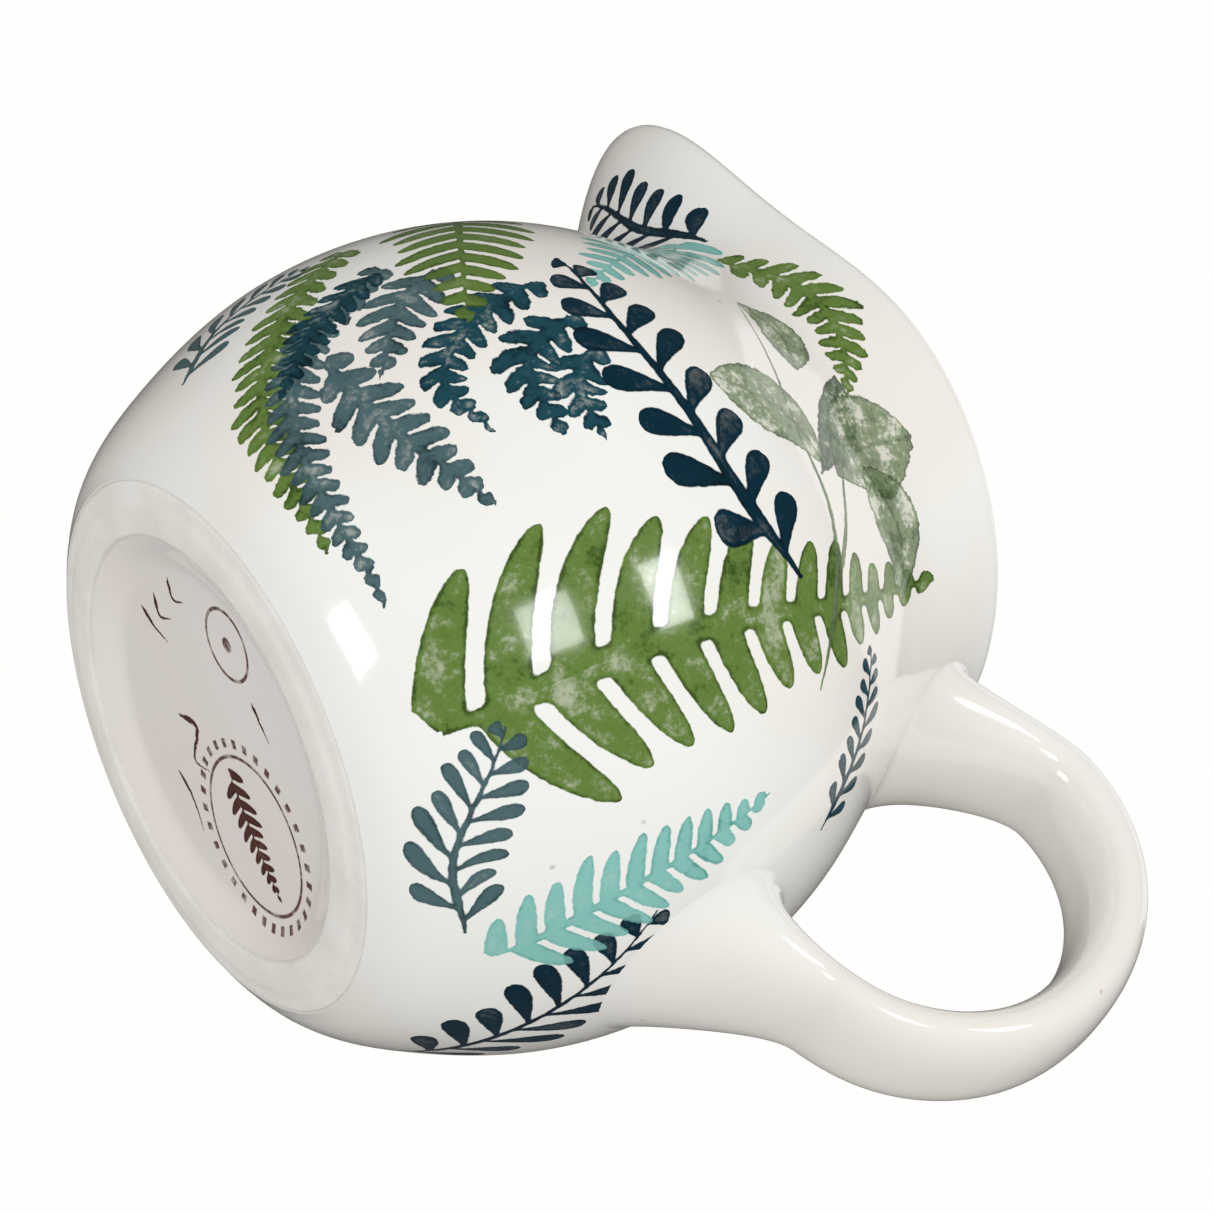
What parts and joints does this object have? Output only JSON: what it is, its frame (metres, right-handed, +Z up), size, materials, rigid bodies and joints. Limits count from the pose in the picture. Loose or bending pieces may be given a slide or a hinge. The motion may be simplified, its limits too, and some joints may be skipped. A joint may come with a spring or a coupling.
{
  "type": "cream jug",
  "caption": "Small round-bellied stoneware pouring jug with a pulled lip, a strap loop handle, a glazed coat and a bare foot ring.",
  "frame": {"origin": "centre of the foot ring's resting plane, on the body's axis", "axes": "+Z up along the body's axis; +X towards the handle, which lies in the XZ plane; the pouring lip points nearly along -X"},
  "size_m": [0.1335, 0.0968, 0.0954],
  "materials": {
    "bare_clay": "unglazed fired stoneware, fine grit, shows on the foot ring",
    "slip": "fired joining slip, covered by the glaze",
    "glaze": "glossy warm white glaze over underglaze painted ferns and sprigs in greens and teals",
    "base_glaze": null
  },
  "bodies": {
    "root": {"jug_body": "bare_clay", "handle": "bare_clay", "upper_handle_joint": "slip", "lower_handle_joint": "slip", "body_glaze": "glaze", "handle_glaze": "glaze", "base_glaze": "base_glaze"}
  },
  "joints": []
}
